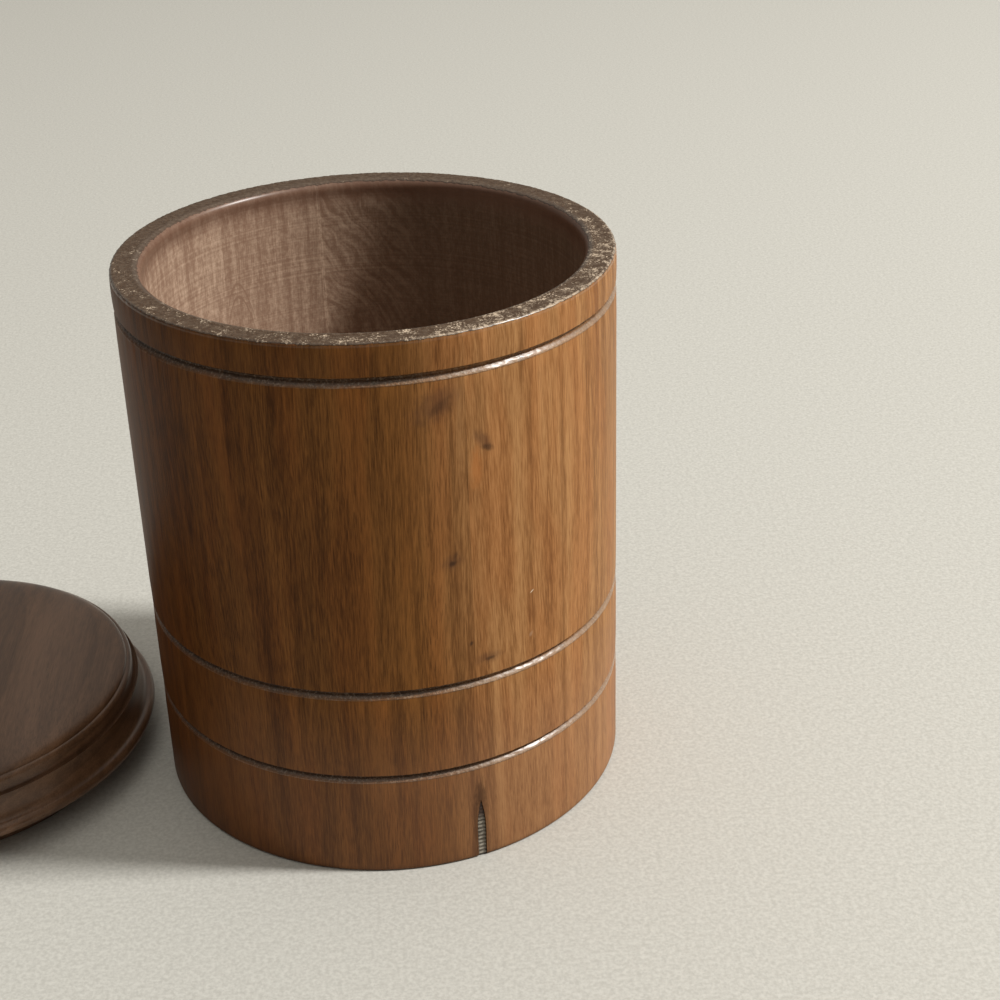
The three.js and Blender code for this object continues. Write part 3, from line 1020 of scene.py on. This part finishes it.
class TURNED_CUP_OT_fill_split(Operator):
    """Press the ribbed filler into the split"""

    bl_idname = "turned_cup.fill_split"
    bl_label = "Split Filler"

    def execute(self, context):
        sizes = context.scene.turned_cup.cup
        width = sizes.split_width - 2 * sizes.filler_gap
        depth = sizes.split_depth - sizes.filler_gap - sizes.filler_recess
        foot = sizes.filler_foot
        tip = sizes.split_height - sizes.filler_drop
        taper = sizes.split_taper - sizes.filler_drop
        rings_per_rib = 4
        hollow = (0,)
        flanks = (1, 3)
        flank_share = 0.45
        front_layer = 0.1 * MM
        ring = sizes.rib_pitch / rings_per_rib
        steps = [foot + ring * (step + 1) for step in range(int((tip - foot) / ring))]
        filler = draw_up_slot("filler_ribs", width, depth, foot, tip, taper, steps, cuts=6)
        front = front_layer - depth / 2
        bpy.ops.object.mode_set(mode="EDIT")
        for share, phases in ((1.0, hollow), (flank_share, flanks)):
            select_where(
                filler, lambda at: at.y < front and round((at.z - foot) / ring) % rings_per_rib in phases)
            bpy.ops.transform.translate(value=(0.0, sizes.rib_depth * share, 0.0))
        bpy.ops.object.mode_set(mode="OBJECT")
        rounding = filler.modifiers.new("rounding", "SUBSURF")
        rounding.levels = 1
        rounding.render_levels = 1
        bpy.ops.object.modifier_apply(modifier="rounding")
        set_in_seam(filler, sizes, seam_front(sizes) - sizes.filler_recess - depth / 2)
        finish = filler_finish("ribbed_filler", context.scene.turned_cup.colours, sizes)
        finish_piece(filler, finish, "cup", "seam_filler")
        return {"FINISHED"}


# The lid and its knob

def crease_height(lid):
    """Height of the groove round the lid's crown."""
    return lid.spigot_height + lid.brim_edge + lid.cove_rise


def knob_seat(lid):
    """Height of the lid's middle, where the knob's collar stands."""
    return crease_height(lid) + lid.crown_step + lid.crown_dome


def lid_profile(lid):
    """Radius and height along the lid: spigot, brim, hollow flank, crease, crown and mortise."""
    edge = lid.brim_edge / 2
    nose = (lid.brim_radius - edge, lid.spigot_height + edge)
    crease = crease_height(lid)
    cove = (lid.brim_radius - edge, crease)
    crown_radius = lid.brim_radius - edge - lid.cove_inset - lid.crease_width
    crown = crease + lid.crown_step
    corner = (crown_radius - lid.crown_corner, crown - lid.crown_corner)
    dome_reach = corner[0] - lid.collar_radius
    seat = knob_seat(lid)
    mortise_foot = seat - lid.mortise_depth
    ease = 0.25 * MM
    spigot = [
        (0.0, 0.0), (lid.spigot_radius - lid.spigot_chamfer, 0.0),
        (lid.spigot_radius - lid.spigot_chamfer / 4, lid.spigot_chamfer / 4),
        (lid.spigot_radius, lid.spigot_chamfer)]
    spigot += run(spigot[-1], (lid.spigot_radius, lid.spigot_height - ease), 3)
    spigot += [(lid.spigot_radius, lid.spigot_height - ease), (lid.spigot_radius + ease, lid.spigot_height)]
    brim = run(spigot[-1], (nose[0], lid.spigot_height), 4) + arc(nose, (edge, edge), -90, 90, 14)
    flank = arc(cove, (-lid.cove_inset, -lid.cove_rise), 90, 0, 12)[1:]
    valley = (crown_radius + lid.crease_width / 2, crease - lid.crease_depth)
    eased = 0.1 * MM
    half_floor = 0.12 * MM
    groove = [
        (flank[-1][0] - eased, crease - eased / 2), (valley[0] + half_floor, valley[1] + eased), valley,
        (valley[0] - half_floor, valley[1] + eased), (crown_radius, crease)]
    rise = arc(corner, (lid.crown_corner, lid.crown_corner), 0, 90, 7)
    dome = arc((lid.collar_radius, crown), (dome_reach, lid.crown_dome), 0, 90, 28)[1:]
    mortise = [(lid.mortise_radius, seat), (lid.mortise_radius, mortise_foot), (0.0, mortise_foot)]
    return spigot + brim + flank + groove + rise + dome + mortise


def knob_profile(lid):
    """Radius and height along the knob: tenon, collar, neck and head."""
    seat = knob_seat(lid)
    tenon_foot = seat - lid.mortise_depth + lid.tenon_short
    tenon = lid.mortise_radius - lid.tenon_gap
    neck_foot = seat + lid.collar_height
    head_foot = neck_foot + lid.neck_height
    waist = (lid.collar_radius, neck_foot + lid.neck_height / 2)
    head = (0.0, head_foot + lid.head_height / 2)
    neck_turn = degrees(acos(lid.neck_radius / lid.head_radius))
    ease = 0.3 * MM
    collar = [(lid.collar_radius - ease, seat)]
    collar += arc((lid.collar_radius - ease, seat + ease), (ease, ease), -60, 0, 3)
    collar += arc((lid.collar_radius - ease, neck_foot - ease), (ease, ease), 0, 60, 3)
    neck = arc(waist, (lid.neck_radius - lid.collar_radius, lid.neck_height / 2), -80, 0, 10)
    top = arc(head, (lid.head_radius, lid.head_height / 2), -neck_turn, 90, 32)
    top[-1] = (0.0, top[-1][1])
    return [(0.0, tenon_foot), (tenon, tenon_foot), (tenon, seat)] + collar + neck + top


class TURNED_CUP_OT_turn_lid(Operator):
    """Turn the lid where it lies beside the cup"""

    bl_idname = "turned_cup.turn_lid"
    bl_label = "Lid"

    def execute(self, context):
        lid = context.scene.turned_cup.lid
        colours = context.scene.turned_cup.colours
        piece = turn("lid_turned", lid_profile(lid), LID_STEPS, lid.centre)
        finish = lid_wood("lid_wood", shared_groups(), colours, lid.centre, pith=(-60.0, 30.0, 0.0))
        finish_piece(piece, finish, "lid", "lid")
        return {"FINISHED"}


class TURNED_CUP_OT_turn_knob(Operator):
    """Turn the knob and set its tenon in the lid"""

    bl_idname = "turned_cup.turn_knob"
    bl_label = "Lid Knob"

    def execute(self, context):
        lid = context.scene.turned_cup.lid
        colours = context.scene.turned_cup.colours
        piece = turn("knob_turned", knob_profile(lid), KNOB_STEPS, lid.centre)
        finish = lid_wood("knob_wood", shared_groups(), colours, lid.centre, pith=(-20.0, 40.0, 0.0))
        finish_piece(piece, finish, "lid", "lid_knob")
        return {"FINISHED"}


# Camera, light and floor

def set_camera(stage):
    """A camera in front of the cup, looking down on it."""
    data = bpy.data.cameras.new("camera")
    data.lens = stage.camera_lens
    data.sensor_width = 36.0
    data.clip_start = 0.01
    data.clip_end = 50.0
    camera = bpy.data.objects.new("camera", data)
    bpy.context.collection.objects.link(camera)
    turned = Matrix.Rotation(-stage.camera_yaw, 4, "Z")
    turned = turned @ Matrix.Rotation(pi / 2 - stage.camera_pitch, 4, "X")
    turned = turned @ Matrix.Rotation(-stage.camera_roll, 4, "Z")
    camera.matrix_world = Matrix.Translation((0.0, -stage.camera_distance, stage.camera_height)) @ turned
    bpy.context.scene.camera = camera


def hang_key(stage):
    """A round lamp, high up on the right."""
    flat = cos(stage.key_rise)
    towards = Vector((sin(stage.key_bearing) * flat, -cos(stage.key_bearing) * flat, sin(stage.key_rise)))
    data = bpy.data.lights.new("key", "AREA")
    data.shape = "DISK"
    data.size = stage.key_size
    data.energy = stage.key_power
    data.color = stage.key_tint[:3]
    key = bpy.data.objects.new("key", data)
    bpy.context.collection.objects.link(key)
    key.location = towards * stage.key_distance
    key.rotation_mode = "QUATERNION"
    key.rotation_quaternion = towards.to_track_quat("Z", "Y")


def fill_room(stage):
    """Soft light all round, strongest from above and weakest from the front."""
    world = bpy.data.worlds.new("room")
    world.use_nodes = True
    net = Net(world.node_tree)
    background = world.node_tree.nodes["Background"]
    way = net.parts(net.add("ShaderNodeTexCoord").outputs["Generated"])
    above = net.math("POWER", net.math("MAXIMUM", way["Z"], 0.0), 2.0)
    behind = net.span(way["Y"], 0.0, 0.9)
    level = net.math("ADD", net.total((above, stage.fill_top), (behind, stage.fill_back)), stage.fill_low)
    net.feed(background.inputs["Color"], stage.fill_tint)
    net.feed(background.inputs["Strength"], level)
    bpy.context.scene.world = world


def lay_floor(stage):
    """A wide round board with an eased edge, its top level with the cup's foot."""
    bpy.ops.object.select_all(action="DESELECT")
    bpy.ops.mesh.primitive_circle_add(vertices=96, radius=FLOOR_RADIUS, fill_type="NGON")
    floor = bpy.context.object
    floor.name = "floor"
    bpy.ops.object.mode_set(mode="EDIT")
    bpy.ops.mesh.select_all(action="SELECT")
    bpy.ops.mesh.extrude_region_move(TRANSFORM_OT_translate={"value": (0.0, 0.0, -FLOOR_THICKNESS)})
    bpy.ops.mesh.select_all(action="SELECT")
    bpy.ops.mesh.normals_make_consistent(inside=False)
    select_where(floor, lambda at: at.z > -MM)
    bpy.ops.mesh.bevel(offset=FLOOR_EDGE, segments=4)
    bpy.ops.object.mode_set(mode="OBJECT")
    floor.data.materials.append(floor_finish("pale_board", stage))


class TURNED_CUP_OT_set_stage(Operator):
    """Set up the camera, the light and the floor"""

    bl_idname = "turned_cup.set_stage"
    bl_label = "Stage"

    def execute(self, context):
        stage = context.scene.turned_cup.stage
        context.scene.view_settings.view_transform = "Standard"
        set_camera(stage)
        hang_key(stage)
        fill_room(stage)
        lay_floor(stage)
        return {"FINISHED"}


# Add-on

class TurnedCupSettings(PropertyGroup):
    """All settings of the cup, its lid, their colours and the stage."""

    cup: PointerProperty(type=CupSizes, name="Cup", description="Sizes of the cup")
    lid: PointerProperty(type=LidSizes, name="Lid", description="Sizes of the lid and knob")
    colours: PointerProperty(type=WoodColours, name="Colours", description="Colours of the woods")
    stage: PointerProperty(type=StageSettings, name="Stage", description="Camera, light and floor")


class TURNED_CUP_PT_sidebar(Panel):
    """Lists the pieces and the stage in the sidebar"""

    bl_idname = "TURNED_CUP_PT_sidebar"
    bl_label = "Turned Cup"
    bl_space_type = "VIEW_3D"
    bl_region_type = "UI"
    bl_category = "Turned Cup"

    def draw(self, context):
        for operator in OPERATORS:
            self.layout.operator(operator.bl_idname)
        for settings in (context.scene.turned_cup.cup, context.scene.turned_cup.lid,
                         context.scene.turned_cup.colours, context.scene.turned_cup.stage):
            box = self.layout.box()
            for name in settings.__annotations__:
                box.prop(settings, name)


OPERATORS = (
    TURNED_CUP_OT_set_stage,
    TURNED_CUP_OT_turn_cup,
    TURNED_CUP_OT_fill_split,
    TURNED_CUP_OT_turn_lid,
    TURNED_CUP_OT_turn_knob,
)
SETTINGS = (CupSizes, LidSizes, WoodColours, StageSettings, TurnedCupSettings)
CLASSES = (*SETTINGS, *OPERATORS, TURNED_CUP_PT_sidebar)


def register():
    for item in CLASSES:
        bpy.utils.register_class(item)
    bpy.types.Scene.turned_cup = PointerProperty(type=TurnedCupSettings)


def unregister():
    del bpy.types.Scene.turned_cup
    for item in reversed(CLASSES):
        bpy.utils.unregister_class(item)


def main():
    register()
    bpy.ops.turned_cup.set_stage()
    bpy.ops.turned_cup.turn_cup()
    bpy.ops.turned_cup.fill_split()
    bpy.ops.turned_cup.turn_lid()
    bpy.ops.turned_cup.turn_knob()


if __name__ == "__main__":
    main()
